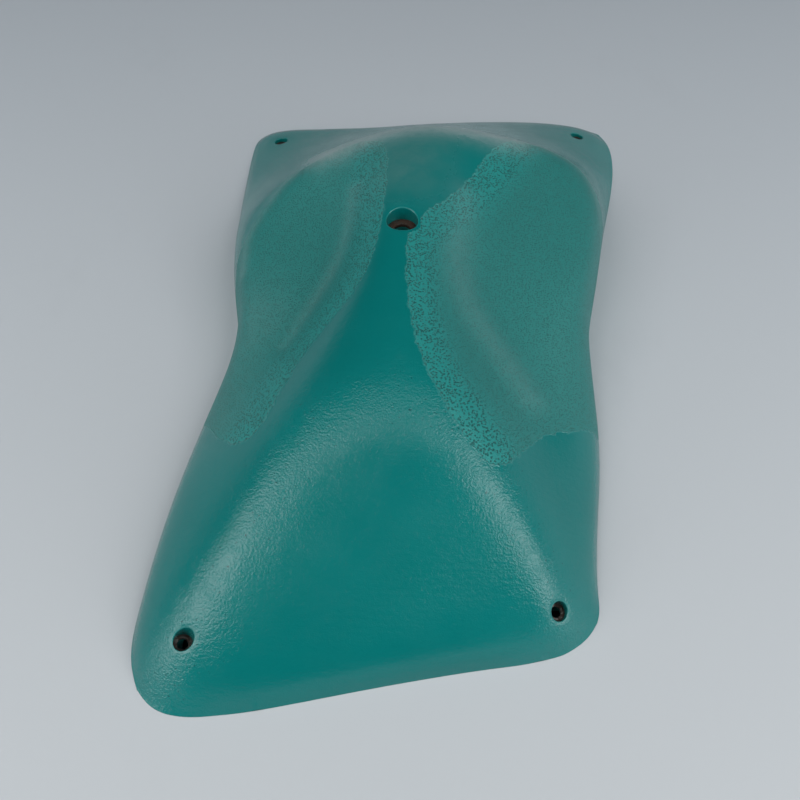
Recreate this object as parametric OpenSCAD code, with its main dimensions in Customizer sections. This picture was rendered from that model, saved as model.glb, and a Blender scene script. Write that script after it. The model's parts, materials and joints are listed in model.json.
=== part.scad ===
// Large two-texture climbing hold: a hollow moulded shell with five embedded steel washers.
// Millimetres. The back plane is z = 0, the bolt axis is x = 0, y = 0, +Y runs to the far edge.

/* [Hold body] */
// Overall width across the two side edges
hold_w = 346; // [280:1:430]
// Overall length from near edge to far edge
hold_l = 526; // [430:1:640]
// Height of the hump over the back plane
hold_h = 88; // [72:1:108]

/* [Hollow back] */
// Thickness of the moulded wall over the hollow
wall_t = 8; // [6:0.5:11]
// Thickness of the stiffening ribs
rib_t = 8; // [5:0.5:12]
// Radius of the boss round the bolt hole
bolt_boss_r = 24; // [20:0.5:30]
// Radius of the boss round each screw hole
screw_boss_r = 14; // [12:0.5:17]

/* [Bolt hole] */
// Diameter of the recess for the bolt head
bolt_head_d = 21.5; // [19:0.5:24]
// Depth of the recess below the top of the hump
bolt_head_depth = 11; // [8:0.5:18]
// Diameter of the bolt hole through to the back
bolt_hole_d = 12; // [10.5:0.5:13]
// Outside diameter of the bolt washer
bolt_washer_d = 26; // [25:0.5:30]
// Thickness of the bolt washer
bolt_washer_t = 3; // [2:0.25:4]

/* [Screw holes] */
// Diameter of the recess for each screw head
screw_head_d = 11; // [10:0.5:13]
// Diameter of each screw hole through to the back
screw_hole_d = 6; // [5:0.25:7]
// Outside diameter of each screw washer
screw_washer_d = 15; // [14:0.5:17]
// Thickness of each screw washer
screw_washer_t = 1.5; // [1:0.25:2]

/* [Hidden] */

// Size the net below is drawn at, and the scale from it to the size asked for.
net_w = 346;
net_l = 526;
net_h = 88;
grow = [hold_w / net_w, hold_l / net_l, hold_h / net_h];

// Control net of the outer skin. Rows run from the far edge to the near edge,
// and each row runs from the left edge, over the spine, to the right edge.
net = [
  // far edge
  [[-126, 205, 0], [-119, 211, 0], [-107, 212, 0], [-92, 212, 0], [-74, 212, 0],
   [-56, 213, 0], [-40, 213, 0], [-24, 214, 0], [-8, 215, 0], [10, 216, 0],
   [28, 217, 0], [46, 218, 0], [64, 220, 0], [82, 221, 0], [102, 222, 0],
   [124, 222, 0], [146, 221, 0], [168, 217, 0], [181, 208, 0]],
  [[-132, 198, 0], [-122, 202, 7], [-107, 206, 9], [-91, 208, 9], [-74, 208, 9],
   [-56, 209, 9], [-40, 209, 9], [-24, 210, 9], [-8, 211, 9], [10, 212, 10],
   [28, 213, 10], [46, 214, 10], [64, 216, 10], [82, 217, 9], [102, 218, 9],
   [124, 217, 9], [146, 214, 9], [172, 207, 8], [187, 196, 0]],
  // far wall, with a screw hole towards each corner
  [[-134, 180, 0], [-126, 183, 8], [-107, 184, 13], [-90, 184, 14], [-73, 185, 15],
   [-56, 186, 16], [-40, 187, 17], [-24, 188, 18], [-8, 189, 20], [10, 190, 22],
   [28, 191, 23], [46, 192, 23], [64, 193, 22], [84, 194, 21], [106, 194, 20],
   [130, 193, 18], [154, 190, 15], [176, 186, 9], [189, 180, 0]],
  [[-135, 150, 0], [-129, 151, 11], [-108, 150, 20], [-88, 147, 26], [-70, 146, 32],
   [-54, 147, 36], [-40, 149, 39], [-25, 151, 41], [-8, 153, 43], [10, 155, 45],
   [28, 156, 46], [46, 156, 46], [64, 155, 44], [84, 154, 42], [108, 152, 38],
   [132, 150, 31], [156, 149, 23], [176, 150, 11], [186, 151, 0]],
  [[-136, 118, 0], [-130, 118, 15], [-110, 113, 29], [-86, 106, 46], [-66, 106, 57],
   [-52, 109, 62], [-38, 113, 66], [-24, 117, 69], [-7, 120, 72], [10, 121, 75],
   [28, 121, 75], [46, 120, 73], [65, 118, 69], [86, 116, 64], [110, 113, 57],
   [132, 112, 48], [154, 114, 32], [171, 117, 15], [178, 118, 0]],
  // arched lip, over the crest and down both sides of the scoops
  [[-136, 88, 0], [-131, 86, 19], [-113, 80, 41], [-86, 74, 62], [-68, 84, 67],
   [-53, 92, 71], [-38, 96, 75], [-23, 98, 79], [-7, 100, 83], [10, 101, 85],
   [28, 101, 85], [46, 101, 82], [64, 103, 79], [84, 105, 75], [107, 104, 71],
   [130, 93, 66], [150, 92, 46], [164, 92, 20], [171, 93, 0]],
  // scoops either side of the spine
  [[-136, 62, 0], [-131, 60, 24], [-119, 56, 44], [-99, 50, 60], [-76, 62, 61],
   [-56, 70, 64], [-40, 72, 72], [-25, 73, 80], [-10, 74, 86], [6, 74, 88],
   [22, 74, 87], [38, 74, 83], [54, 74, 77], [72, 75, 72], [100, 76, 69],
   [143, 68, 61], [154, 66, 44], [161, 66, 22], [164, 68, 0]],
  [[-134, 36, 0], [-129, 34, 27], [-121, 31, 45], [-108, 27, 57], [-82, 34, 54],
   [-54, 42, 56], [-38, 44, 67], [-25, 44, 80], [-12, 44, 87], [0, 44, 89],
   [14, 44, 88], [28, 44, 84], [40, 44, 76], [56, 44, 68], [90, 43, 64],
   [142, 38, 58], [149, 36, 44], [154, 36, 24], [157, 38, 0]],
  [[-129, 4, 0], [-124, 2, 28], [-119, 0, 44], [-111, -2, 53], [-82, 2, 49],
   [-50, 8, 50], [-35, 8, 63], [-24, 6, 78], [-13, 5, 86], [-3, 4, 89],
   [8, 4, 87], [20, 4, 82], [32, 4, 73], [48, 4, 64], [84, 3, 59],
   [134, 2, 56], [140, 0, 44], [145, 0, 25], [148, 2, 0]],
  // waist
  [[-121, -32, 0], [-117, -34, 25], [-113, -36, 39], [-107, -38, 46], [-86, -36, 44],
   [-60, -33, 46], [-46, -33, 57], [-32, -34, 73], [-18, -35, 84], [-3, -36, 88],
   [9, -36, 86], [20, -36, 79], [31, -36, 69], [46, -36, 59], [78, -35, 54],
   [120, -34, 52], [128, -36, 41], [134, -36, 23], [138, -34, 0]],
  [[-122, -66, 0], [-119, -68, 20], [-115, -70, 31], [-108, -72, 38], [-95, -70, 38],
   [-78, -66, 41], [-63, -68, 52], [-45, -70, 70], [-25, -71, 82], [-4, -72, 86],
   [9, -72, 84], [22, -72, 77], [34, -72, 66], [50, -72, 56], [78, -70, 50],
   [112, -68, 46], [125, -68, 35], [133, -67, 19], [137, -66, 0]],
  [[-132, -102, 0], [-129, -104, 16], [-125, -106, 26], [-117, -107, 33], [-105, -105, 37],
   [-90, -100, 42], [-75, -102, 53], [-57, -106, 69], [-32, -108, 81], [-4, -109, 85],
   [12, -109, 84], [27, -109, 78], [42, -109, 67], [60, -109, 55], [82, -106, 46],
   [106, -102, 38], [122, -100, 28], [132, -98, 15], [136, -97, 0]],
  // knee, where the spine bends down into the near facet
  [[-141, -136, 0], [-138, -138, 13], [-133, -140, 24], [-124, -142, 33], [-111, -142, 42],
   [-96, -140, 51], [-82, -141, 60], [-64, -143, 71], [-38, -144, 80], [-5, -145, 84],
   [15, -145, 83], [34, -145, 79], [52, -144, 68], [70, -142, 54], [88, -138, 42],
   [105, -134, 33], [120, -131, 23], [130, -129, 12], [134, -128, 0]],
  [[-148, -168, 0], [-145, -170, 12], [-140, -173, 22], [-131, -175, 31], [-118, -176, 41],
   [-103, -176, 51], [-88, -176, 61], [-72, -177, 69], [-48, -178, 71], [-5, -179, 72],
   [22, -181, 72], [46, -183, 70], [60, -182, 63], [74, -178, 52], [89, -172, 40],
   [103, -167, 30], [117, -163, 20], [126, -160, 11], [130, -158, 0]],
  // near facet between the two hips
  [[-154, -208, 0], [-151, -210, 11], [-146, -213, 20], [-138, -216, 28], [-126, -218, 37],
   [-113, -220, 45], [-101, -222, 51], [-87, -223, 54], [-62, -222, 52], [-8, -220, 52],
   [36, -219, 52], [62, -219, 53], [74, -217, 49], [84, -214, 42], [94, -210, 33],
   [104, -206, 25], [113, -203, 17], [119, -200, 9], [122, -198, 0]],
  [[-158, -248, 0], [-155, -250, 9], [-150, -253, 16], [-143, -256, 22], [-133, -258, 28],
   [-123, -260, 32], [-113, -261, 34], [-100, -262, 35], [-74, -260, 33], [-10, -254, 33],
   [46, -249, 33], [74, -247, 35], [84, -245, 34], [91, -242, 30], [98, -239, 25],
   [104, -236, 19], [110, -233, 13], [115, -231, 7], [118, -229, 0]],
  [[-158, -272, 0], [-152, -278, 7], [-146, -282, 10], [-139, -286, 12], [-131, -289, 14],
   [-122, -291, 15], [-112, -292, 15], [-98, -293, 15], [-72, -291, 14], [-10, -283, 14],
   [48, -274, 14], [72, -270, 15], [82, -268, 15], [89, -265, 14], [96, -262, 12],
   [102, -258, 10], [107, -253, 8], [112, -249, 6], [118, -244, 0]],
  // near edge
  [[-150, -289, 0], [-143, -297, 0], [-136, -301, 0], [-129, -303, 0], [-121, -304, 0],
   [-112, -304, 0], [-102, -303, 0], [-90, -302, 0], [-66, -298, 0], [-10, -287, 0],
   [46, -278, 0], [66, -276, 0], [76, -274, 0], [85, -272, 0], [93, -270, 0],
   [100, -266, 0], [106, -262, 0], [111, -257, 0], [115, -251, 0]]
];

row_count = len(net);
col_count = len(net[0]);
// Facets along each span of the net, for the skin and for the roof of the hollow.
skin_row_steps = 4;
skin_col_steps = 3;
roof_row_steps = 2;
roof_col_steps = 2;
// Rows and columns left solid round the rim, counted in spans of the net.
rim_spans = 2.5;
// The wall over the hollow is thickened on a slope, up to this many times.
slope_limit = 2.2;
// Overlap that takes a cut clear past the face it goes through.
past = 1;
// Sides on every circle.
round_sides = 64;

// Each screw: where the floor of its recess is on the net, and its lean towards x and y.
far_left = [[-107, 182, 8], [0, 0]];
far_right = [[156, 188, 9], [0, 0]];
near_left = [[-123, -269, 18], [15, 0]];
near_right = [[88, -250, 16], [10, -16]];
screws = [far_left, far_right, near_left, near_right];

// Ribs under the roof: one along the length and two across, at these net positions.
long_rib_x = 0;
cross_rib_y = [0, -150];

// Uniform cubic spline weights at a fraction t of one span.
function weights(t) = [pow(1 - t, 3), 3 * pow(t, 3) - 6 * t * t + 4,
                       -3 * pow(t, 3) + 3 * t * t + 3 * t + 1, pow(t, 3)] / 6;

// Adds one mirrored point at each end, so the curve starts and ends on its own end points.
function mirrored(points) = let (last = len(points) - 1)
  concat([2 * points[0] - points[1]], points, [2 * points[last] - points[last - 1]]);

// Point at position s, in spans, along a curve with mirrored ends.
function on_curve(points, s) = let (i = min(floor(s), len(points) - 4), w = weights(s - i))
  w[0] * points[i] + w[1] * points[i + 1] + w[2] * points[i + 2] + w[3] * points[i + 3];

// Control points of the cross curve at position s down the net.
function cross_curve(s) =
  mirrored([for (c = [0 : col_count - 1]) on_curve(mirrored([for (row = net) row[c]]), s)]);

function sized(p) = [p[0] * grow[0], p[1] * grow[1], p[2] * grow[2]];

// Grid of skin points at the given row and column positions.
function skin_grid(rows, cols) =
  [for (r = rows) let (cross = cross_curve(r)) [for (c = cols) sized(on_curve(cross, c))]];

// Direction straight out of the grid at one of its points.
function outward(grid, r, c) =
  let (r0 = max(r - 1, 0), r1 = min(r + 1, len(grid) - 1),
       c0 = max(c - 1, 0), c1 = min(c + 1, len(grid[0]) - 1),
       n = cross(grid[r][c1] - grid[r][c0], grid[r0][c] - grid[r1][c]))
  n / norm(n);

// A solid with the grid as its top and a flat bottom at the given height. The bottom is laid
// in strips from the left edge to the right edge, with a cap at each end. Each corner cell is
// split through the corner itself, so that none of its triangles lies flat in the rim.
module grid_solid(grid, bottom) {
  rows = len(grid);
  cols = len(grid[0]);
  rim_stands_on_bottom = grid[0][0][2] == bottom;
  down = rim_stands_on_bottom ? 0 : rows * cols;
  top = [for (row = grid) each row];
  low = [for (p = top) [p[0], p[1], bottom]];
  roof = [for (r = [0 : rows - 2], c = [0 : cols - 2])
    let (a = r * cols + c, b = a + 1, d = a + cols, e = d + 1,
         far_right = r == 0 && c == cols - 2, near_left = r == rows - 2 && c == 0)
    each (far_right || near_left ? [[a, b, d], [b, e, d]] : [[a, b, e], [a, e, d]])];
  strips = [for (r = [0 : rows - 2])
    let (a = down + r * cols, b = a + cols - 1, d = a + cols, e = b + cols)
    each [[a, d, e], [a, e, b]]];
  caps = [[for (c = [cols - 1 : -1 : 0]) down + c],
          [for (c = [0 : cols - 1]) down + (rows - 1) * cols + c]];
  rim = concat([for (c = [0 : cols - 1]) c], [for (r = [1 : rows - 1]) r * cols + cols - 1],
               [for (c = [cols - 2 : -1 : 0]) (rows - 1) * cols + c],
               [for (r = [rows - 2 : -1 : 1]) r * cols]);
  walls = [for (k = [0 : len(rim) - 1]) let (a = rim[k], b = rim[(k + 1) % len(rim)])
    each [[b, a, a + down], [b, a + down, b + down]]];
  if (rim_stands_on_bottom)
    polyhedron(top, concat(strips, caps, roof));
  else
    polyhedron(concat(top, low), concat(strips, caps, roof, walls));
}

module body_solid() {
  rows = [for (k = [0 : (row_count - 1) * skin_row_steps]) k / skin_row_steps];
  cols = [for (k = [0 : (col_count - 1) * skin_col_steps]) k / skin_col_steps];
  grid_solid(skin_grid(rows, cols), 0);
}

// The hollow: the skin dropped by the wall thickness, down past the back plane.
module hollow_solid() {
  row_span = row_count - 1 - 2 * rim_spans;
  col_span = col_count - 1 - 2 * rim_spans;
  rows = [for (k = [0 : row_span * roof_row_steps]) rim_spans + k / roof_row_steps];
  cols = [for (k = [0 : col_span * roof_col_steps]) rim_spans + k / roof_col_steps];
  skin = skin_grid(rows, cols);
  roof = [for (r = [0 : len(rows) - 1]) [for (c = [0 : len(cols) - 1])
    let (slope = min(1 / outward(skin, r, c)[2], slope_limit))
    skin[r][c] - [0, 0, wall_t * slope]]];
  grid_solid(roof, -past);
}

// Moves to the floor of a screw's recess, with z along the screw.
module at_screw(screw) {
  translate(sized(screw[0]))
    rotate([-screw[1][1], screw[1][0], 0])
      children();
}

module washer(outer_d, hole_d, t) {
  translate([0, 0, -t])
    difference() {
      cylinder(h = t, d = outer_d, $fn = round_sides);
      translate([0, 0, -past])
        cylinder(h = t + 2 * past, d = hole_d, $fn = round_sides);
    }
}

bolt_seat_z = hold_h - bolt_head_depth;

module hollow_inside_ribs() {
  difference() {
    hollow_solid();
    translate([0, 0, -2 * past]) {
      // rib along the length
      translate([long_rib_x - rib_t / 2, -hold_l, 0])
        cube([rib_t, 2 * hold_l, hold_h]);
      // ribs across
      for (y = cross_rib_y)
        translate([-hold_w, y * grow[1] - rib_t / 2, 0])
          cube([2 * hold_w, rib_t, hold_h]);
      // bosses
      cylinder(h = hold_h, r = bolt_boss_r, $fn = round_sides);
      for (screw = screws)
        translate([screw[0][0] * grow[0], screw[0][1] * grow[1], 0])
          cylinder(h = hold_h, r = screw_boss_r, $fn = round_sides);
    }
  }
}

module hold_shell() {
  color([0.02, 0.43, 0.41])
    difference() {
      body_solid();
      hollow_inside_ribs();
      // bolt hole, washer pocket and head recess
      translate([0, 0, -past])
        cylinder(h = hold_h, d = bolt_hole_d, $fn = round_sides);
      translate([0, 0, bolt_seat_z - bolt_washer_t])
        cylinder(h = bolt_washer_t, d = bolt_washer_d, $fn = round_sides);
      translate([0, 0, bolt_seat_z])
        cylinder(h = hold_h, d = bolt_head_d, $fn = round_sides);
      for (screw = screws)
        at_screw(screw) {
          translate([0, 0, -hold_h])
            cylinder(h = hold_h, d = screw_hole_d, $fn = round_sides);
          translate([0, 0, -screw_washer_t])
            cylinder(h = screw_washer_t, d = screw_washer_d, $fn = round_sides);
          cylinder(h = hold_h, d = screw_head_d, $fn = round_sides);
        }
    }
}

module bolt_washer() {
  color([0.55, 0.5, 0.45])
    translate([0, 0, bolt_seat_z])
      washer(bolt_washer_d, bolt_hole_d, bolt_washer_t);
}

module screw_washer(screw) {
  color([0.6, 0.58, 0.55])
    at_screw(screw)
      washer(screw_washer_d, screw_hole_d, screw_washer_t);
}

hold_shell();
bolt_washer();
screw_washer(far_left);  // screw_washer_far_left
screw_washer(far_right);  // screw_washer_far_right
screw_washer(near_left);  // screw_washer_near_left
screw_washer(near_right);  // screw_washer_near_right
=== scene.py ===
"""Looks for the climbing hold: a finely meshed skin over the CAD shell, its washers, a floor and soft light.

Everything is in the row frame, in metres: the back plane is z = 0, the bolt axis is x = 0, y = 0,
and +Y runs to the far edge.
"""

import json
import math

import bpy
import numpy as np
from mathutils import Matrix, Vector
from mathutils.bvhtree import BVHTree


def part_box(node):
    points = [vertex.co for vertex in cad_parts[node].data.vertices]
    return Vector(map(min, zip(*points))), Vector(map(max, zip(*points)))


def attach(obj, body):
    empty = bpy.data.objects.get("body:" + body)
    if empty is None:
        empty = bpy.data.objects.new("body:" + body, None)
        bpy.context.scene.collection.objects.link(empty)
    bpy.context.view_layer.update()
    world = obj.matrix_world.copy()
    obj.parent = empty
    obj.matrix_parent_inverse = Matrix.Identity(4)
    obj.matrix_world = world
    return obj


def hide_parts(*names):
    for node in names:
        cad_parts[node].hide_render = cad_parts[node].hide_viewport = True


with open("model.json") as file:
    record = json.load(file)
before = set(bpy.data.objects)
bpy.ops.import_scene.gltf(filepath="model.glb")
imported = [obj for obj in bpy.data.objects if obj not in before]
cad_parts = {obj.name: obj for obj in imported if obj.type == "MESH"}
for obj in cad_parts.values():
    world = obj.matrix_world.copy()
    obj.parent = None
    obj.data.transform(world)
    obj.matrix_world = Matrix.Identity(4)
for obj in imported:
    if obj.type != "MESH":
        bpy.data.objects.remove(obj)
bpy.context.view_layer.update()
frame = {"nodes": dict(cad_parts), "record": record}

MM = 0.001

# ---------------------------------------------------------------- sizes

SKIN_ACROSS = 232  # cells of the skin from the left edge to the right edge
SKIN_ALONG = 312  # cells of the skin from the near edge to the far edge
ROUGH_ACROSS = 60  # cells of a rough grid, which shows how to space the fine one
ROUGH_ALONG = 80
SMOOTH_PASSES = 7  # takes the CAD facets out of the skin
FILL_MARGIN = 1.2 * MM  # the patch that closes a recess over reaches this far past its wall
FIT_REACH = 7 * MM  # the patch starts as a plane fitted to the skin this far out
FILL_PASSES = 400  # blends the patch into the skin round it
ROUNDING = 0.9 * MM  # rounding at the mouth of each recess
ROUNDING_STEPS = 5  # bands in the rounding
WALL_STEPS = 4  # bands down the recess wall
MOUTH_SIDES = {"bolt": 96, "screw": 64}
MOUTH_MARGIN = 0.5 * MM  # skin cells are opened this far past the rounding
MOUTH_SEARCH = 8 * MM  # the opened edge lies within this distance of the recess wall
BELOW_SEAT = 5 * MM  # skin further than this under a seat is no part of that mouth
RAY_START = 60 * MM  # rays along a hole's axis start this far over its seat
CLEAR_ABOVE = 10 * MM  # rays straight down start this far over the shell
ANGLE_NUDGE = 1e-4  # keeps the first side clear of the jump in angle at half a turn
WASHER_SIDES = 96
WASHER_EDGE = 0.25 * MM  # rounding of a washer's edges, on a washer that is thick enough
CURVE_STEPS = 8  # straight pieces between two points of a plan line
SURFACE_NORMAL_UP = 0.02  # a facet of the outer skin leans up at least this much
BACK_NORMAL_DOWN = -0.99  # a facet of the back plane faces down at least this much
ON_BACK_PLANE = 1e-6  # metres
POCKET_SLACK = 0.3 * MM  # a facet this close to a washer's pocket counts as part of it
SEAT_SLACK = 0.01 * MM
WALL_SLACK = 0.1 * MM  # a facet this close to a recess wall counts as part of it
BODY_SHARP_ANGLE = 38  # degrees; steeper edges than this are shaded sharp
WASHER_SHARP_ANGLE = 50

# Plan lines, as a few points in millimetres from the bolt axis, on a body BODY_W wide and BODY_L
# long. A smooth curve runs through each line's points.
BODY_W, BODY_L = 346, 526

# The two moulded-in zones of grain, either side of the smooth spine. Each starts with its spine side.
LEFT_SPINE_SIDE = [(-15, 90), (-20, -30), (-65, -100), (-90, -155)]
LEFT_ZONE = LEFT_SPINE_SIDE + [(-120, -140), (-160, -60), (-115, 20), (-75, 85)]
RIGHT_SPINE_SIDE = [(85, 105), (40, 40), (5, -15), (10, -110), (50, -180)]
RIGHT_ZONE = RIGHT_SPINE_SIDE + [(90, -145), (160, -100), (180, 20), (140, 90)]
# Grain is coarse up to the first distance from a zone's spine side, and fine past the second.
COARSE_FULL, COARSE_GONE = 11 * MM, 34 * MM
# Crease where the left scoop meets the flank of the spine, and the soft ridge beside the right dish.
LEFT_VALLEY = [(-35, 50), (-45, -5), (-80, -75)]
CREASE_DEPTH, CREASE_REACH, CREASE_ROUND = 3.0 * MM, 7 * MM, 1.6 * MM
RIGHT_RIDGE = [(45, 40), (40, -40), (80, -120)]
RIDGE_HEIGHT, RIDGE_REACH = 2.2 * MM, 10 * MM
# The skin is pebbled along both hips and over the knee between them, where it is also painted paler as
# highlight.
LEFT_HIP = [(-60, -160), (-85, -220), (-140, -295)]
RIGHT_HIP = [(50, -180), (70, -220), (95, -260)]
KNEE = [(-60, -160), (0, -145), (50, -180)]
PEBBLE_REACH = 24 * MM
FAR_OUTSIDE_MM = -50  # the distance into a zone that recess walls and the back are given
# The top of the hump is painted greyer and has a duller gloss.
HUMP = [(0, 50), (15, 105)]
HUMP_REACH = 30 * MM
# Lines where light is painted in as a paler colour: painted highlight along both lips, the left valley crease
# and the right ridge, a painted reflection along the crest, and a soft painted highlight on the left flank.
# Each has how far the painted light spreads and how strong it is; these lines also get a duller gloss.
LEFT_LIP = [(-20, 95), (-75, 85), (-110, 30), (-115, -10)]
RIGHT_LIP = [(85, 105), (140, 90), (160, 25)]
LEFT_FLANK = [(-105, -50), (-125, -140)]
CREST = [(-60, 100), (20, 115), (85, 110)]
PAINTED_LIGHT_LINES = [
    (RIGHT_RIDGE, 11 * MM, 0.14), (LEFT_VALLEY, 6 * MM, 0.13), (LEFT_LIP, 4 * MM, 0.20),
    (RIGHT_LIP, 4 * MM, 0.20), (CREST, 17 * MM, 1.0), (LEFT_FLANK, 26 * MM, 0.10),
]  # fmt: skip
# Small nicks in the bottom edge, each at the point of the edge that is nearest to the one given.
EDGE_NICKS = [(-80, -300), (80, -275)]
NICK_HEIGHT, NICK_REACH = 1.4 * MM, 2.6 * MM


# ---------------------------------------------------------------- CAD shell as arrays


def welded(obj):
    """Vertices and triangles of a CAD node, with coincident vertices merged."""
    mesh = obj.data
    mesh.calc_loop_triangles()
    co = np.zeros(len(mesh.vertices) * 3)
    mesh.vertices.foreach_get("co", co)
    tri = np.zeros(len(mesh.loop_triangles) * 3, np.int32)
    mesh.loop_triangles.foreach_get("vertices", tri)
    keys, where = np.unique(np.round(co.reshape(-1, 3), 7), axis=0, return_inverse=True)
    tri = where.reshape(-1)[tri.reshape(-1, 3)]
    whole = (tri[:, 0] != tri[:, 1]) & (tri[:, 1] != tri[:, 2]) & (tri[:, 0] != tri[:, 2])
    return keys, tri[whole]


def triangle_normals(points, tri):
    n = np.cross(points[tri[:, 1]] - points[tri[:, 0]], points[tri[:, 2]] - points[tri[:, 0]])
    return n / np.maximum(np.linalg.norm(n, axis=1), 1e-15)[:, None]


def base_outline(points, tri, normals):
    """The outer edge of the back plane, as points in order."""
    flat = (normals[:, 2] < BACK_NORMAL_DOWN) & (points[tri][:, :, 2].max(1) < ON_BACK_PLANE)
    edges = {}
    for face, is_flat in zip(tri, flat):
        if is_flat:
            for a, b in ((face[0], face[1]), (face[1], face[2]), (face[2], face[0])):
                if (b, a) in edges:
                    del edges[(b, a)]
                else:
                    edges[(a, b)] = True
    after = {a: b for a, b in edges}
    loops = []
    while after:
        first, at = next(iter(after.items()))
        loop = [first]
        del after[first]
        while at != first and at in after:
            loop.append(at)
            at = after.pop(at)
        loops.append(points[loop])
    return max(loops, key=lambda p: np.ptp(p[:, 0]) * np.ptp(p[:, 1]))


shell_points, shell_tri = welded(frame["nodes"]["hold_shell"])
shell_normals = triangle_normals(shell_points, shell_tri)
shell_tree = BVHTree.FromPolygons(shell_points.tolist(), shell_tri.tolist())
shell_low, shell_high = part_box("hold_shell")
scale_x = (shell_high.x - shell_low.x) / (BODY_W * MM)
scale_y = (shell_high.y - shell_low.y) / (BODY_L * MM)


def plan(points, closed=False):
    """A smooth curve through a plan line's points, in the row frame."""
    p = np.array(points, float) * MM * [scale_x, scale_y]
    if closed:
        p = np.concatenate([p[-1:], p, p[:2]])
    else:
        p = np.concatenate([[2 * p[0] - p[1]], p, [2 * p[-1] - p[-2]]])
    curve = []
    for a, b, c, d in zip(p, p[1:], p[2:], p[3:]):
        for t in np.arange(CURVE_STEPS) / CURVE_STEPS:
            bend = (2 * a - 5 * b + 4 * c - d) * t**2 + (3 * b - a - 3 * c + d) * t**3
            curve.append(0.5 * (2 * b + (c - a) * t + bend))
    return np.array(curve if closed else curve + [p[-2]])


# ---------------------------------------------------------------- holes, from the record's mounts


def read_holes():
    mounts = {m["name"]: m for m in frame["record"]["mounts"]}
    holes = []
    for name, mount in mounts.items():
        if not name.endswith("recess") and "recess_" not in name:
            continue
        kind = "bolt" if name.startswith("bolt") else "screw"
        washer = "bolt_washer" if kind == "bolt" else name.replace("screw_recess", "screw_washer")
        axis = np.array(mount["axis"], float)
        centre = np.array(mount["pos_m"], float)
        points, _ = welded(frame["nodes"][washer])
        seat = centre + axis * ((points - centre) @ axis).max()
        across = np.cross(axis, [0, 1, 0])
        across /= np.linalg.norm(across)
        bore = mounts[name.replace("head_recess", "hole").replace("recess", "hole")]
        holes.append(
            {
                "kind": kind,
                "washer": washer,
                "seat": seat,
                "axis": axis,
                "across": across,
                "along": np.cross(axis, across),
                "radius": mount["dims"]["r_mm"] * MM,
                "bore": bore["dims"]["r_mm"] * MM,
                "thickness": np.ptp((points - centre) @ axis),
                "washer_radius": np.linalg.norm(
                    (points - seat) - np.outer((points - seat) @ axis, axis), axis=1
                ).max(),
            }
        )
    return holes


holes = read_holes()


def off_axis(points, hole):
    """Distance of each point from a hole's axis, and its height along that axis over the seat."""
    rel = points - hole["seat"]
    height = rel @ hole["axis"]
    return np.linalg.norm(rel - height[..., None] * hole["axis"], axis=-1), height


# ---------------------------------------------------------------- the skin as a fine grid


def resample(line, fractions):
    step = np.linalg.norm(np.diff(line, axis=0), axis=1)
    at = np.concatenate([[0], np.cumsum(step)])
    at /= at[-1]
    return np.stack([np.interp(fractions, at, line[:, k]) for k in range(line.shape[1])], 1)


def four_sides(outline):
    """The outline's near, far, left and right sides, each running left to right or near to far."""
    p = outline[:, :2]
    size = np.ptp(p, axis=0)
    corner = {
        key: int(np.argmax(p[:, 0] / size[0] * sx + p[:, 1] / size[1] * sy))
        for key, (sx, sy) in {
            "near_left": (-1, -1), "near_right": (1, -1), "far_left": (-1, 1), "far_right": (1, 1),
        }.items()
    }  # fmt: skip
    area = np.sum(p[:, 0] * np.roll(p[:, 1], -1) - np.roll(p[:, 0], -1) * p[:, 1])
    if area < 0:  # make it run anticlockwise, seen from above
        p = p[::-1]
        corner = {k: len(p) - 1 - v for k, v in corner.items()}

    def between(a, b):
        return p[a : b + 1] if a <= b else np.concatenate([p[a:], p[: b + 1]])

    return {
        "near": between(corner["near_left"], corner["near_right"]),
        "right": between(corner["near_right"], corner["far_right"]),
        "far": between(corner["far_right"], corner["far_left"])[::-1],
        "left": between(corner["far_left"], corner["near_left"])[::-1],
    }


def patch(sides, us, vs):
    """Plan positions that fill the outline, as an array of rows from near to far."""
    near, far = resample(sides["near"], us), resample(sides["far"], us)
    left, right = resample(sides["left"], vs), resample(sides["right"], vs)
    u, v = us[None, :, None], vs[:, None, None]
    edges = (1 - v) * near[None] + v * far[None] + (1 - u) * left[:, None] + u * right[:, None]
    corners = (
        (1 - u) * (1 - v) * near[0] + u * (1 - v) * near[-1] + (1 - u) * v * far[0] + u * v * far[-1]
    )
    return edges - corners


def lifted(flat):
    """The plan positions raised onto the CAD shell's outer skin."""
    down = Vector((0, 0, -1))
    top = shell_high.z + CLEAR_ABOVE
    z = np.zeros(flat.shape[:2])
    for r in range(1, flat.shape[0] - 1):
        for c in range(1, flat.shape[1] - 1):
            hit = shell_tree.ray_cast(Vector((flat[r, c, 0], flat[r, c, 1], top)), down)[0]
            z[r, c] = hit.z if hit is not None else 0.0
    return np.dstack([flat, z])


def filled_over_holes(grid):
    """The grid with the recesses closed over, as if they had not been cut."""
    z = grid[..., 2].copy()
    inside = np.zeros(z.shape, bool)
    for hole in holes:
        distance, _ = off_axis(grid, hole)
        inside |= distance < hole["radius"] + FILL_MARGIN
    z[inside] = np.nan
    rows, cols = np.where(inside)
    known = ~inside
    for hole in holes:  # start from a plane fitted to the ring round each hole
        distance, _ = off_axis(grid, hole)
        near = distance < hole["radius"] + FIT_REACH
        ring, gap = near & known, near & inside
        a = np.c_[grid[ring][:, :2], np.ones(ring.sum())]
        fit = np.linalg.lstsq(a, grid[ring][:, 2], rcond=None)[0]
        z[gap] = np.c_[grid[gap][:, :2], np.ones(gap.sum())] @ fit
    z[np.isnan(z)] = grid[..., 2][np.isnan(z)]
    for _ in range(FILL_PASSES):
        z[rows, cols] = (z[rows - 1, cols] + z[rows + 1, cols] + z[rows, cols - 1] + z[rows, cols + 1]) / 4
    return np.dstack([grid[..., :2], z])


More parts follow.
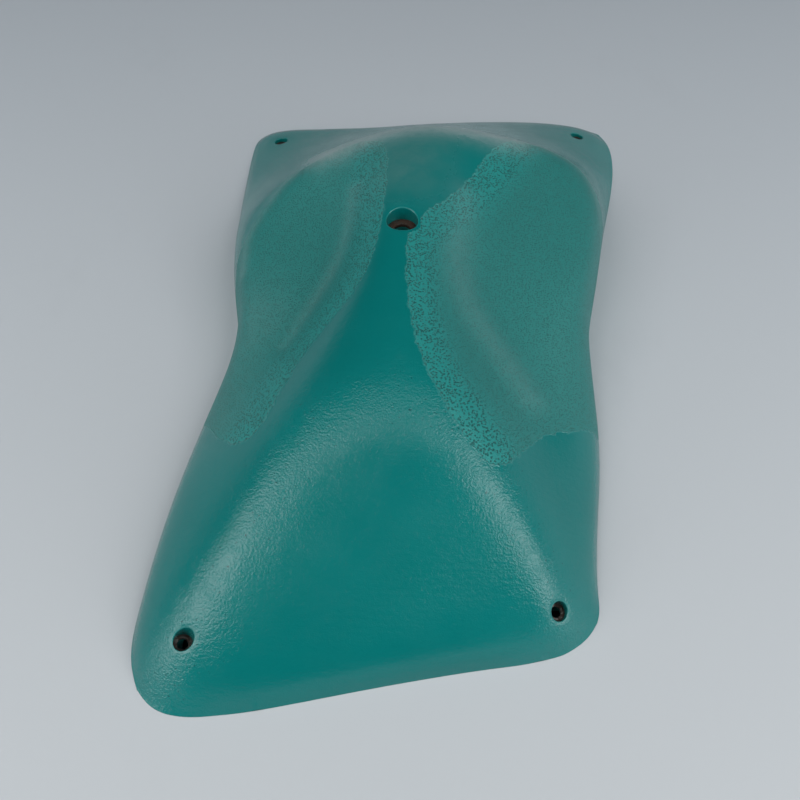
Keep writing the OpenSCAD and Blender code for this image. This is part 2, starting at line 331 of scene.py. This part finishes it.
def smoothed(grid, passes):
    g = grid.copy()
    for _ in range(passes):
        g[1:-1, 1:-1] = 0.5 * g[1:-1, 1:-1] + 0.25 * (g[:-2, 1:-1] + g[2:, 1:-1])
        g[1:-1, 1:-1] = 0.5 * g[1:-1, 1:-1] + 0.25 * (g[1:-1, :-2] + g[1:-1, 2:])
    return g


def even_steps(grid, axis):
    """Fractions along one direction of the grid that give cells of even length on the skin."""
    step = np.linalg.norm(np.diff(grid, axis=axis), axis=2).mean(axis=1 - axis)
    return np.concatenate([[0], np.cumsum(step)]) / step.sum()


def line_distance(points, line):
    """Distance in plan from each point to a line of points."""
    best = np.full(points.shape[:-1], np.inf)
    for a, b in zip(line[:-1], line[1:]):
        ab = b - a
        t = np.clip(((points - a) @ ab) / (ab @ ab), 0, 1)
        best = np.minimum(best, np.linalg.norm(points - a - t[..., None] * ab, axis=-1))
    return best


def inside_distance(points, polygon):
    """Distance in plan to the polygon's edge: positive inside it, negative outside."""
    closed = np.concatenate([polygon, polygon[:1]])
    inside = np.zeros(points.shape[:-1], bool)
    x, y = points[..., 0], points[..., 1]
    for (ax, ay), (bx, by) in zip(closed[:-1], closed[1:]):
        crosses = (ay > y) != (by > y)
        inside ^= crosses & (x < (bx - ax) * (y - ay) / (by - ay + 1e-15) + ax)
    distance = line_distance(points, closed)
    return np.where(inside, distance, -distance)


outline = base_outline(shell_points, shell_tri, shell_normals)
sides = four_sides(outline)
rough_u = np.linspace(0, 1, ROUGH_ACROSS + 1)
rough_v = np.linspace(0, 1, ROUGH_ALONG + 1)
rough = filled_over_holes(lifted(patch(sides, rough_u, rough_v)))
fine_u = np.interp(np.linspace(0, 1, SKIN_ACROSS + 1), even_steps(rough, 1), rough_u)
fine_v = np.interp(np.linspace(0, 1, SKIN_ALONG + 1), even_steps(rough, 0), rough_v)
skin = smoothed(filled_over_holes(lifted(patch(sides, fine_u, fine_v))), SMOOTH_PASSES)

valley = line_distance(skin[..., :2], plan(LEFT_VALLEY))
skin[..., 2] -= CREASE_DEPTH * np.exp(-np.hypot(valley, CREASE_ROUND) / CREASE_REACH)
ridge = line_distance(skin[..., :2], plan(RIGHT_RIDGE))
skin[..., 2] += RIDGE_HEIGHT * np.exp(-((ridge / RIDGE_REACH) ** 2))
for x, y in EDGE_NICKS:
    wanted = np.array([x * scale_x, y * scale_y]) * MM
    nick = outline[np.argmin(np.linalg.norm(outline[:, :2] - wanted, axis=1)), :2]
    away = np.linalg.norm(skin[..., :2] - nick, axis=-1)
    skin[..., 2] += NICK_HEIGHT * np.exp(-((away / NICK_REACH) ** 2))

# ---------------------------------------------------------------- mouths of the recesses

points = [skin.reshape(-1, 3)]
faces = []
rows, cols = skin.shape[:2]
index = np.arange(rows * cols).reshape(rows, cols)
cell_keep = np.ones((rows - 1, cols - 1), bool)
skin_quads = np.stack([index[:-1, :-1], index[:-1, 1:], index[1:, 1:], index[1:, :-1]], -1)
skin_tree = BVHTree.FromPolygons(points[0].tolist(), skin_quads.reshape(-1, 4).tolist())
for hole in holes:
    distance, height = off_axis(skin, hole)
    close = (distance < hole["radius"] + ROUNDING + MOUTH_MARGIN) & (height > -BELOW_SEAT)
    cell_keep &= ~(close[:-1, :-1] | close[:-1, 1:] | close[1:, 1:] | close[1:, :-1])
faces += skin_quads[cell_keep].tolist()


def loop_round(hole):
    """The edge left in the skin round a recess, as vertex numbers in order of angle."""
    distance, height = off_axis(skin, hole)
    near = (distance < hole["radius"] + MOUTH_SEARCH) & (height > -BELOW_SEAT)
    gone = ~cell_keep
    beside_gone = np.zeros((rows, cols), bool)
    beside_kept = np.zeros((rows, cols), bool)
    for dr in (0, 1):
        for dc in (0, 1):
            beside_gone[dr : rows - 1 + dr, dc : cols - 1 + dc] |= gone
            beside_kept[dr : rows - 1 + dr, dc : cols - 1 + dc] |= ~gone
    loop = index[near & beside_gone & beside_kept]
    return sorted(loop, key=lambda v: angle_round(points[0][v], hole))


def angle_round(point, hole):
    rel = point - hole["seat"]
    return math.atan2(rel @ hole["along"], rel @ hole["across"])


def on_skin(hole, angle, radius):
    """Where a line along the hole's axis, at an angle and radius from it, meets the skin."""
    start = (
        hole["seat"]
        + (hole["across"] * math.cos(angle) + hole["along"] * math.sin(angle)) * radius
        + hole["axis"] * RAY_START
    )
    hit = skin_tree.ray_cast(Vector(start), Vector(-hole["axis"]))[0]
    return np.array(hit)


def stitched(outer, inner, hole, everything):
    """Triangles that fill the ring between two loops in order of angle round the same hole."""

    def turned(loop):
        angles = np.array([angle_round(everything[v], hole) for v in loop])
        order = np.argsort(angles)
        return [loop[k] for k in order], angles[order]

    outer, outer_at = turned(outer)
    inner, inner_at = turned(inner)
    out, i, j = [], 0, 0
    while i < len(outer) or j < len(inner):
        next_outer = outer_at[(i + 1) % len(outer)] + (2 * math.pi if i + 1 >= len(outer) else 0)
        next_inner = inner_at[(j + 1) % len(inner)] + (2 * math.pi if j + 1 >= len(inner) else 0)
        a, b = outer[i % len(outer)], inner[j % len(inner)]
        if j >= len(inner) or (i < len(outer) and next_outer <= next_inner):
            out.append((a, outer[(i + 1) % len(outer)], b))
            i += 1
        else:
            out.append((a, inner[(j + 1) % len(inner)], b))
            j += 1
    return out


extra = []
rim_share = []
count = rows * cols
for hole in holes:
    sides_round = MOUTH_SIDES[hole["kind"]]
    angles = np.linspace(-math.pi, math.pi, sides_round, endpoint=False) + ANGLE_NUDGE
    rings = []
    lip = np.array([on_skin(hole, a, hole["radius"] + ROUNDING) for a in angles])
    corner = np.array([on_skin(hole, a, hole["radius"]) for a in angles])
    wall_top = corner - hole["axis"] * ROUNDING
    for k in range(ROUNDING_STEPS + 1):
        t = k / ROUNDING_STEPS
        band = lip * (1 - t) ** 2 + 2 * corner * t * (1 - t) + wall_top * t * t
        rings.append((band, math.sin(math.pi * t)))
    drop = (wall_top - hole["seat"]) @ hole["axis"]
    for k in range(1, WALL_STEPS + 1):
        rings.append((wall_top - np.outer(drop * k / WALL_STEPS, hole["axis"]), 0.0))
    first = count
    for ring, share in rings:
        extra.append(ring)
        rim_share.append(np.full(sides_round, share))
        count += sides_round
    everything = np.concatenate([points[0], *extra])
    faces += stitched(
        loop_round(hole), list(range(first, first + sides_round)), hole, everything
    )
    for k in range(len(rings) - 1):
        a, b = first + k * sides_round, first + (k + 1) * sides_round
        for s in range(sides_round):
            n = (s + 1) % sides_round
            faces.append((a + s, a + n, b + n, b + s))

# ---------------------------------------------------------------- the back, from the CAD shell

middles = shell_points[shell_tri].mean(1)
outer_facet = shell_normals[:, 2] > SURFACE_NORMAL_UP
recess_wall = np.zeros(len(shell_tri), bool)
for hole in holes:
    distance, height = off_axis(middles, hole)
    in_pocket = (distance < hole["washer_radius"] + POCKET_SLACK) & (height < SEAT_SLACK)
    outer_facet &= ~(in_pocket & (height > -hole["thickness"] - POCKET_SLACK))
    recess_wall |= (distance < hole["radius"] + WALL_SLACK) & (height > 0)
back_tri = shell_tri[~outer_facet & ~recess_wall]

skin_points = np.concatenate([points[0], *extra])


def make_object(name, verts, polygons):
    mesh = bpy.data.meshes.new(name)
    mesh.from_pydata(np.asarray(verts).tolist(), [], [tuple(int(v) for v in f) for f in polygons])
    mesh.validate()
    mesh.shade_smooth()
    obj = bpy.data.objects.new(name, mesh)
    bpy.context.scene.collection.objects.link(obj)
    return obj


def add_attribute(obj, name, values):
    attribute = obj.data.attributes.new(name, "FLOAT", "POINT")
    attribute.data.foreach_set("value", np.asarray(values, np.float32))


body = make_object(
    "hold_body",
    np.concatenate([skin_points, shell_points]),
    faces + (back_tri + len(skin_points)).tolist(),
)
body_plan = np.concatenate([skin_points, shell_points])[:, :2]
left_zone = inside_distance(body_plan, plan(LEFT_ZONE, closed=True))
right_zone = inside_distance(body_plan, plan(RIGHT_ZONE, closed=True))
zone = np.maximum(left_zone, right_zone)
spine_side = np.minimum(
    line_distance(body_plan, plan(LEFT_SPINE_SIDE)), line_distance(body_plan, plan(RIGHT_SPINE_SIDE))
)
coarse = np.clip((COARSE_GONE - spine_side) / (COARSE_GONE - COARSE_FULL), 0, 1)
painted_light = np.zeros(len(body_plan))
for line, reach, strength in PAINTED_LIGHT_LINES:
    away = line_distance(body_plan, plan(line))
    painted_light = np.maximum(painted_light, strength * np.exp(-((away / reach) ** 2)))
is_back = np.concatenate([np.zeros(len(skin_points)), np.ones(len(shell_points))])
# One on the recess walls and the back, where the zones of the face don't apply.
off_face = np.concatenate(
    [np.zeros(rows * cols), np.ones(len(skin_points) - rows * cols), np.ones(len(shell_points))]
)
rims = np.concatenate([np.zeros(rows * cols), *rim_share, np.zeros(len(shell_points))])
add_attribute(body, "zone_mm", np.where(off_face > 0, FAR_OUTSIDE_MM, zone / MM))
add_attribute(body, "coarse", coarse * (1 - off_face))
add_attribute(body, "painted_light", painted_light * (1 - off_face))
to_pebbles = np.min([line_distance(body_plan, plan(line)) for line in (LEFT_HIP, RIGHT_HIP, KNEE)], axis=0)
add_attribute(body, "pebbled_and_highlit", np.exp(-((to_pebbles / PEBBLE_REACH) ** 2)) * (1 - off_face))
to_hump = line_distance(body_plan, plan(HUMP))
add_attribute(body, "hump_top", np.exp(-((to_hump / HUMP_REACH) ** 2)) * (1 - off_face))
add_attribute(body, "rim", rims)
add_attribute(body, "back", is_back)
body.data.set_sharp_from_angle(angle=math.radians(BODY_SHARP_ANGLE))
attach(body, "root")
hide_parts("hold_shell")

# ---------------------------------------------------------------- materials


class Nodes:
    """A small helper that adds shader nodes and links them by socket name or number."""

    def __init__(self, name):
        self.material = bpy.data.materials.new(name)
        self.material.use_nodes = True
        self.tree = self.material.node_tree
        self.shader = self.tree.nodes["Principled BSDF"]
        self.where = self.add("ShaderNodeTexCoord").outputs["Object"]

    def add(self, kind, settings=None, **inputs):
        """A new node, with each input given by its socket name, or as i0, i1 or i2 by its number."""
        node = self.tree.nodes.new(kind)
        for key, value in (settings or {}).items():
            setattr(node, key, value)
        for key, value in inputs.items():
            numbered = key[0] == "i" and key[1:].isdigit()
            self.put(node.inputs[int(key[1:]) if numbered else key], value)
        return node

    def put(self, socket, value):
        if isinstance(value, bpy.types.NodeSocket):
            self.tree.links.new(value, socket)
        else:
            socket.default_value = value

    def math(self, operation, a, b=0.0, c=0.0):
        return self.add("ShaderNodeMath", {"operation": operation}, i0=a, i1=b, i2=c).outputs[0]

    def dots(self, scale, wobble):
        """Distance to the nearest of many scattered points, in spacings, with ragged edges."""
        cells = self.add("ShaderNodeTexVoronoi", Vector=self.where, Scale=scale).outputs["Distance"]
        ragged = self.math("MULTIPLY_ADD", self.noise(scale * 2.2, 1.0), wobble, -wobble / 2)
        return self.math("ADD", cells, ragged)

    def noise(self, scale, detail=2.0, rough=0.5, where=None):
        return self.add(
            "ShaderNodeTexNoise", Vector=where or self.where, Scale=scale, Detail=detail, Roughness=rough
        ).outputs["Fac"]

    def ramp(self, value, low, high, out_low=0.0, out_high=1.0):
        """Smooth change from out_low to out_high as value goes from low to high."""
        node = self.add("ShaderNodeMapRange", {"interpolation_type": "SMOOTHSTEP"})
        sockets = ("Value", "From Min", "From Max", "To Min", "To Max")
        for socket, given in zip(sockets, (value, low, high, out_low, out_high)):
            self.put(node.inputs[socket], given)
        return node.outputs["Result"]

    def mixed(self, data_type, share, a, b):
        node = self.add("ShaderNodeMix", {"data_type": data_type})
        self.put(node.inputs["Factor"], share)
        self.put(node.inputs["A"], a)
        self.put(node.inputs["B"], b)
        return node.outputs["Result"]

    def mix(self, share, a, b):
        """Colour a where share is 0, and colour b where it is 1."""
        return self.mixed("RGBA", share, a, b)

    def mix_value(self, share, a, b):
        """Value a where share is 0, and value b where it is 1."""
        return self.mixed("FLOAT", share, a, b)

    def attribute(self, name):
        return self.add("ShaderNodeAttribute", {"attribute_name": name}).outputs["Fac"]

    def stretched(self, x, y, z):
        return self.add("ShaderNodeMapping", Vector=self.where, Scale=(x, y, z)).outputs["Vector"]

    def bump(self, height_m):
        """Height is in metres."""
        return self.add("ShaderNodeBump", Strength=1.0, Distance=1.0, Height=height_m).outputs["Normal"]


# Linear colours of the shell. A pair is the two ends of a slow drift over the whole body.
SMOOTH_TEAL = (0.0010, 0.156, 0.150, 1), (0.0018, 0.170, 0.163, 1)
# The grain's ground colours are paler than the smooth teal as painted sheen of the rough surface; the coarse
# ground is paler still as painted light on the strips beside the spine.
FINE_GROUND_SHEEN = (0.0160, 0.184, 0.172, 1), (0.0180, 0.197, 0.184, 1)
COARSE_GROUND_LIT = (0.0105, 0.238, 0.222, 1)
# Pit colours are painted shade: the pits are darkened as if in their own shadow.
FINE_PIT_SHADE = (0.0022, 0.105, 0.098, 1)
COARSE_PIT_SHADE = (0.0012, 0.100, 0.094, 1)
PEBBLE_HIGHLIGHT_TEAL = (0.0060, 0.205, 0.196, 1)
SCUFFED = (0.10, 0.30, 0.28, 1)
HUMP_GREY = (0.15, 0.23, 0.225, 1)
PAINTED_LIGHT_PALE = (0.35, 0.44, 0.45, 1)
SPECK_SHADE = (0.001, 0.045, 0.042, 1)
ZONE_EDGE_HIGHLIGHT = (0.08, 0.30, 0.28, 1)
RIM_HIGHLIGHT = (0.13, 0.42, 0.38, 1)
BACK_TEAL = (0.006, 0.115, 0.105, 1)
# Bump heights of the shell, in metres.
FINE_PIT_HEIGHT, COARSE_PIT_HEIGHT = -0.00022, -0.00045
PEEL_HEIGHT, FINE_PEEL_HEIGHT = 0.00014, 0.00010
RIPPLE_HEIGHT = 0.00013
PEBBLE_HEIGHT = 0.00062
ZONE_STEP_HEIGHT = 0.00022
# Scales of its patterns: the larger, the finer.
FINE_PIT_SCALE, COARSE_PIT_SCALE = 850.0, 640.0
PEEL_SCALE, FINE_PEEL_SCALE = 330.0, 1200.0
RIPPLE_SCALE = (90.0, 380.0, 200.0)
PEBBLE_SCALE = 780.0


def shell_material():
    n = Nodes("teal_polyurethane")
    wander = n.math("MULTIPLY_ADD", n.noise(110.0, 2.0), 5.0, -2.5)
    fray = n.math("MULTIPLY_ADD", n.noise(480.0, 2.0), 2.4, -1.2)
    zone_mm = n.math("ADD", n.attribute("zone_mm"), n.math("ADD", wander, fray))
    grain = n.ramp(zone_mm, -0.2, 0.5)
    coarse = n.attribute("coarse")
    back = n.attribute("back")
    rim = n.attribute("rim")
    # painted light along the lit lines, broken up by noise; it also dulls the gloss there
    painted_light = n.math("MULTIPLY", n.attribute("painted_light"), n.ramp(n.noise(160.0, 4.0, 0.65), 0.25, 0.6, 0.55, 1.0))

    # pits of the grain: coarse ones beside the spine, fine ones over the dishes
    fine_pits = n.ramp(n.dots(FINE_PIT_SCALE, 0.5), 0.22, 0.50, 0.9, 0.0)
    coarse_pits = n.ramp(n.dots(COARSE_PIT_SCALE, 0.28), 0.24, 0.50, 1.0, 0.0)
    pits = n.mix_value(n.ramp(coarse, 0.15, 0.75), fine_pits, coarse_pits)
    pits = n.math("MULTIPLY", pits, grain)

    # bumps, as heights in metres
    pit_height = n.ramp(coarse, 0.1, 0.9, FINE_PIT_HEIGHT, COARSE_PIT_HEIGHT)
    grain_height = n.math("MULTIPLY", pits, pit_height)
    peel = n.math("MULTIPLY", n.noise(PEEL_SCALE, 2.0), PEEL_HEIGHT)
    fine_peel = n.math("MULTIPLY", n.noise(FINE_PEEL_SCALE, 2.0), FINE_PEEL_HEIGHT)
    ripples = n.math("MULTIPLY", n.noise(1.0, 2.0, 0.5, n.stretched(*RIPPLE_SCALE)), RIPPLE_HEIGHT)
    pebbled_and_highlit = n.attribute("pebbled_and_highlit")
    patchy = n.math("MULTIPLY", pebbled_and_highlit, n.ramp(n.noise(60.0, 3.0, 0.6), 0.3, 0.7, 0.45, 1.0))
    pebbles = n.math("MULTIPLY", n.math("MULTIPLY", n.noise(PEBBLE_SCALE, 2.0, 0.5), patchy), PEBBLE_HEIGHT)
    smooth_height = n.math("ADD", n.math("ADD", peel, fine_peel), n.math("ADD", ripples, pebbles))
    smooth_height = n.math("MULTIPLY", smooth_height, n.math("SUBTRACT", 1.0, n.math("MULTIPLY", grain, 0.4)))
    step = n.math("MULTIPLY", n.ramp(n.math("ABSOLUTE", zone_mm), 0.0, 0.9, 1.0, 0.0), ZONE_STEP_HEIGHT)
    height = n.math("ADD", n.math("ADD", grain_height, smooth_height), step)

    # colour: deep teal where smooth; paler between the pits as painted sheen, with the pits painted darker as
    # shade; a painted highlight palest on the rounded mouths
    drift = n.ramp(n.noise(9.0, 3.0), 0.35, 0.65)
    smooth_colour = n.mix(drift, *SMOOTH_TEAL)
    fine_ground = n.mix(drift, *FINE_GROUND_SHEEN)
    ground = n.mix(coarse, fine_ground, COARSE_GROUND_LIT)
    # painted shade: the pits darker than the ground between them
    grain_colour = n.mix(pits, ground, n.mix(coarse, FINE_PIT_SHADE, COARSE_PIT_SHADE))
    # painted highlight: paler teal along the hips and over the knee
    smooth_colour = n.mix(n.math("MULTIPLY", pebbled_and_highlit, 0.35), smooth_colour, PEBBLE_HIGHLIGHT_TEAL)
    colour = n.mix(grain, smooth_colour, grain_colour)
    scuffs = n.ramp(n.noise(28.0, 6.0, 0.68), 0.60, 0.74, 0.0, 0.07)
    colour = n.mix(scuffs, colour, SCUFFED)
    # greyer towards the top of the hump
    hump_grey = n.math("MULTIPLY", n.attribute("hump_top"), n.ramp(n.noise(70.0, 5.0, 0.65), 0.3, 0.7, 0.12, 0.27))
    colour = n.mix(hump_grey, colour, HUMP_GREY)
    # painted highlight and reflection: paler colour along the lit lines
    colour = n.mix(n.math("MULTIPLY", painted_light, 0.72), colour, PAINTED_LIGHT_PALE)
    # painted shade: dark specks that break up the painted highlight on the hips and knee
    specks = n.math("MULTIPLY", n.ramp(n.noise(620.0, 1.0), 0.24, 0.30, 0.8, 0.0), pebbled_and_highlit)
    colour = n.mix(specks, colour, SPECK_SHADE)
    # painted highlight: a thin paler line along the step at the zone edge
    edge_line = n.ramp(n.math("ABSOLUTE", zone_mm), 0.0, 1.1, 0.22, 0.0)
    colour = n.mix(edge_line, colour, ZONE_EDGE_HIGHLIGHT)
    # painted highlight on the rounded mouths of the recesses
    colour = n.mix(n.math("MULTIPLY", rim, 0.10), colour, RIM_HIGHLIGHT)
    colour = n.mix(n.math("MULTIPLY", back, 0.6), colour, BACK_TEAL)

    smooth_rough = n.ramp(n.noise(45.0, 4.0, 0.6), 0.3, 0.7, 0.17, 0.23)
    smooth_rough = n.mix_value(n.math("MAXIMUM", n.attribute("hump_top"), painted_light), smooth_rough, 0.42)
    rough = n.mix_value(n.math("MAXIMUM", grain, back), smooth_rough, 0.50)

    n.put(n.shader.inputs["Base Color"], colour)
    n.put(n.shader.inputs["Roughness"], rough)
    n.put(n.shader.inputs["Normal"], n.bump(height))
    n.shader.inputs["IOR"].default_value = 1.5
    return n.material


# Washer colours, zinc and rust, are darkened as painted shade of the recesses they sit in; the screw washers'
# colours are darker still for their deeper recesses.
RUST = (0.045, 0.022, 0.012, 1)
DARK_RUST = (0.028, 0.012, 0.006, 1)
DEEPER_SHADED_RUST = (0.020, 0.012, 0.008, 1)
SHADED_ZINC = (0.085, 0.08, 0.072, 1)
DEEPER_SHADED_ZINC = (0.050, 0.050, 0.046, 1)
TURNING_HEIGHT, RUST_HEIGHT = 0.00002, 0.00006  # bump heights, in metres


def steel_material(name, clean, rust, rust_share):
    """Zinc-plated steel that has started to rust."""
    n = Nodes(name)
    turned = n.noise(1.0, 2.0, 0.5, n.stretched(2200.0, 2200.0, 300.0))
    rust_from = 0.62 - rust_share * 0.3
    rust_full = 0.72 - rust_share * 0.3
    spots = n.ramp(n.noise(420.0, 5.0, 0.7), rust_from, rust_full)
    colour = n.mix(spots, clean, n.mix(n.noise(900.0, 3.0), rust, DARK_RUST))
    metal = n.math("SUBTRACT", 1.0, n.math("MULTIPLY", spots, 0.9))
    n.put(n.shader.inputs["Base Color"], colour)
    n.put(n.shader.inputs["Metallic"], metal)
    n.put(n.shader.inputs["Roughness"], n.ramp(spots, 0.0, 1.0, 0.34, 0.82))
    relief = n.math("ADD", n.math("MULTIPLY", turned, TURNING_HEIGHT), n.math("MULTIPLY", spots, RUST_HEIGHT))
    n.put(n.shader.inputs["Normal"], n.bump(relief))
    return n.material


# The floor is painted paler on the near side and darker and bluer towards the far side, as painted light
# falloff, and dark past the lit area as painted shade.
FLOOR_NEAR = (0.505, 0.540, 0.565, 1)
FLOOR_FAR = (0.475, 0.530, 0.58, 1)
FLOOR_BEYOND_SHADE = (0.17, 0.19, 0.21, 1)
FLOOR_MARK = (0.30, 0.33, 0.36, 1)


def floor_material():
    n = Nodes("pale_floor")
    away = n.add("ShaderNodeSeparateXYZ", Vector=n.where).outputs["Y"]
    # painted light falloff from near to far, then painted shade beyond
    colour = n.mix(n.ramp(away, -0.55, 0.75), FLOOR_NEAR, FLOOR_FAR)
    colour = n.mix(n.ramp(away, 0.55, 1.2), colour, FLOOR_BEYOND_SHADE)
    marks = n.ramp(n.noise(1.0, 5.0, 0.7, n.stretched(9.0, 5.0, 5.0)), 0.55, 0.75, 0.0, 0.06)
    n.put(n.shader.inputs["Base Color"], n.mix(marks, colour, FLOOR_MARK))
    n.shader.inputs["Roughness"].default_value = 0.55
    return n.material


body.data.materials.append(shell_material())

# the washers' colours are darkened as painted shade of their recesses
bolt_steel = steel_material("bolt_washer_steel", SHADED_ZINC, RUST, 0.75)
screw_steel = steel_material("screw_washer_steel", DEEPER_SHADED_ZINC, DEEPER_SHADED_RUST, 0.55)


def make_washer(hole, steel):
    """A washer ring with its edges rounded on top and chamfered below."""
    t, bore, outer = hole["thickness"], hole["bore"], hole["washer_radius"]
    edge = min(WASHER_EDGE, t / 4)
    bend = 0.3 * edge
    middle = (bore + outer) / 2
    profile = [
        (bore, -t + edge), (bore, -edge), (bore + bend, -bend), (bore + edge, 0), (middle, 0),
        (outer - edge, 0), (outer - bend, -bend), (outer, -edge), (outer, -t + edge),
        (outer - edge, -t), (middle, -t), (bore + edge, -t),
    ]  # fmt: skip
    verts = []
    for side in range(WASHER_SIDES):
        angle = 2 * math.pi * side / WASHER_SIDES
        out = hole["across"] * math.cos(angle) + hole["along"] * math.sin(angle)
        verts += [hole["seat"] + out * radius + hole["axis"] * height for radius, height in profile]
    corners = len(profile)
    polygons = []
    for side in range(WASHER_SIDES):
        this, after = side * corners, (side + 1) % WASHER_SIDES * corners
        for k in range(corners):
            j = (k + 1) % corners
            polygons.append((this + k, this + j, after + j, after + k))
    piece = make_object(hole["washer"] + "_steel", verts, polygons)
    piece.data.set_sharp_from_angle(angle=math.radians(WASHER_SHARP_ANGLE))
    piece.data.materials.append(steel)
    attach(piece, "root")
    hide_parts(hole["washer"])


for hole in holes:
    make_washer(hole, bolt_steel if hole["kind"] == "bolt" else screw_steel)

# ---------------------------------------------------------------- floor, light, camera

FLOOR_REACH = 6.0
FLOOR_GAP = 0.2 * MM
floor_corners = [(x * FLOOR_REACH, y * FLOOR_REACH, 0) for x, y in ((-1, -1), (1, -1), (1, 1), (-1, 1))]
floor = make_object("floor", floor_corners, [(0, 1, 2, 3)])
floor.location.z = -FLOOR_GAP
floor.data.materials.append(floor_material())


def aimed(obj, location, target):
    obj.location = location
    obj.rotation_euler = (Vector(target) - Vector(location)).to_track_quat("-Z", "Y").to_euler()
    bpy.context.scene.collection.objects.link(obj)


def area_light(name, location, target, size, energy):
    light = bpy.data.lights.new(name, "AREA")
    light.shape = "RECTANGLE"
    light.size, light.size_y = size
    light.energy = energy
    aimed(bpy.data.objects.new(name, light), location, target)


# Panels of light, in metres and watts. The middle and side panels face straight down.
PANEL_HEIGHT = 1.6
MIDDLE_AWAY = 0.03
MIDDLE_SIZE = (0.9, 0.5)
MIDDLE_POWER = 1.7
SIDE_OUT, SIDE_AWAY = 1.42, -0.75
SIDE_SIZE = (1.8, 1.5)
SIDE_POWER = 29.5
FRONT_OUT, FRONT_AWAY, FRONT_HEIGHT = 1.65, -1.0, 0.85
FRONT_TARGET = (0, -0.15, 0.03)
FRONT_SIZE = (0.9, 0.8)
FRONT_LEFT_POWER, FRONT_RIGHT_POWER = 6, 10

area_light(
    "middle_panel", (0, MIDDLE_AWAY, PANEL_HEIGHT), (0, MIDDLE_AWAY, 0), MIDDLE_SIZE, MIDDLE_POWER
)
for word, out, front_power in (("left", -1, FRONT_LEFT_POWER), ("right", 1, FRONT_RIGHT_POWER)):
    above = (out * SIDE_OUT, SIDE_AWAY, PANEL_HEIGHT)
    below = (out * SIDE_OUT, SIDE_AWAY, 0)
    area_light(word + "_panel", above, below, SIDE_SIZE, SIDE_POWER)
    place = (out * FRONT_OUT, FRONT_AWAY, FRONT_HEIGHT)
    area_light("front_" + word + "_panel", place, FRONT_TARGET, FRONT_SIZE, front_power)

# The room is dark overhead and brighter towards the horizon.
HORIZON_STRENGTH, OVERHEAD_STRENGTH = 0.7, 0.02
DARK_FROM = 0.36  # upward part of the direction, past which the room is at its darkest
ROOM_COLOUR = (0.86, 0.92, 1.0, 1)
world = bpy.data.worlds.new("soft_room")
world.use_nodes = True
bpy.context.scene.world = world
background = world.node_tree.nodes["Background"]
direction = world.node_tree.nodes.new("ShaderNodeTexCoord")
height = world.node_tree.nodes.new("ShaderNodeSeparateXYZ")
brightness = world.node_tree.nodes.new("ShaderNodeMapRange")
brightness.interpolation_type = "SMOOTHSTEP"
world.node_tree.links.new(direction.outputs["Generated"], height.inputs["Vector"])
world.node_tree.links.new(height.outputs["Z"], brightness.inputs["Value"])
world.node_tree.links.new(brightness.outputs["Result"], background.inputs["Strength"])
brightness.inputs["From Min"].default_value = 0.0
brightness.inputs["From Max"].default_value = DARK_FROM
brightness.inputs["To Min"].default_value = HORIZON_STRENGTH
brightness.inputs["To Max"].default_value = OVERHEAD_STRENGTH
background.inputs["Color"].default_value = ROOM_COLOUR

camera_data = bpy.data.cameras.new("camera")
camera_data.lens = 36
camera_data.sensor_width = 36
camera_data.clip_start = 0.01
camera = bpy.data.objects.new("camera", camera_data)
camera.location = (-0.0015, -0.414, 0.463)
camera.rotation_euler = (math.radians(35), 0, 0)
bpy.context.scene.collection.objects.link(camera)
bpy.context.scene.camera = camera
bpy.context.scene.view_settings.view_transform = "Standard"
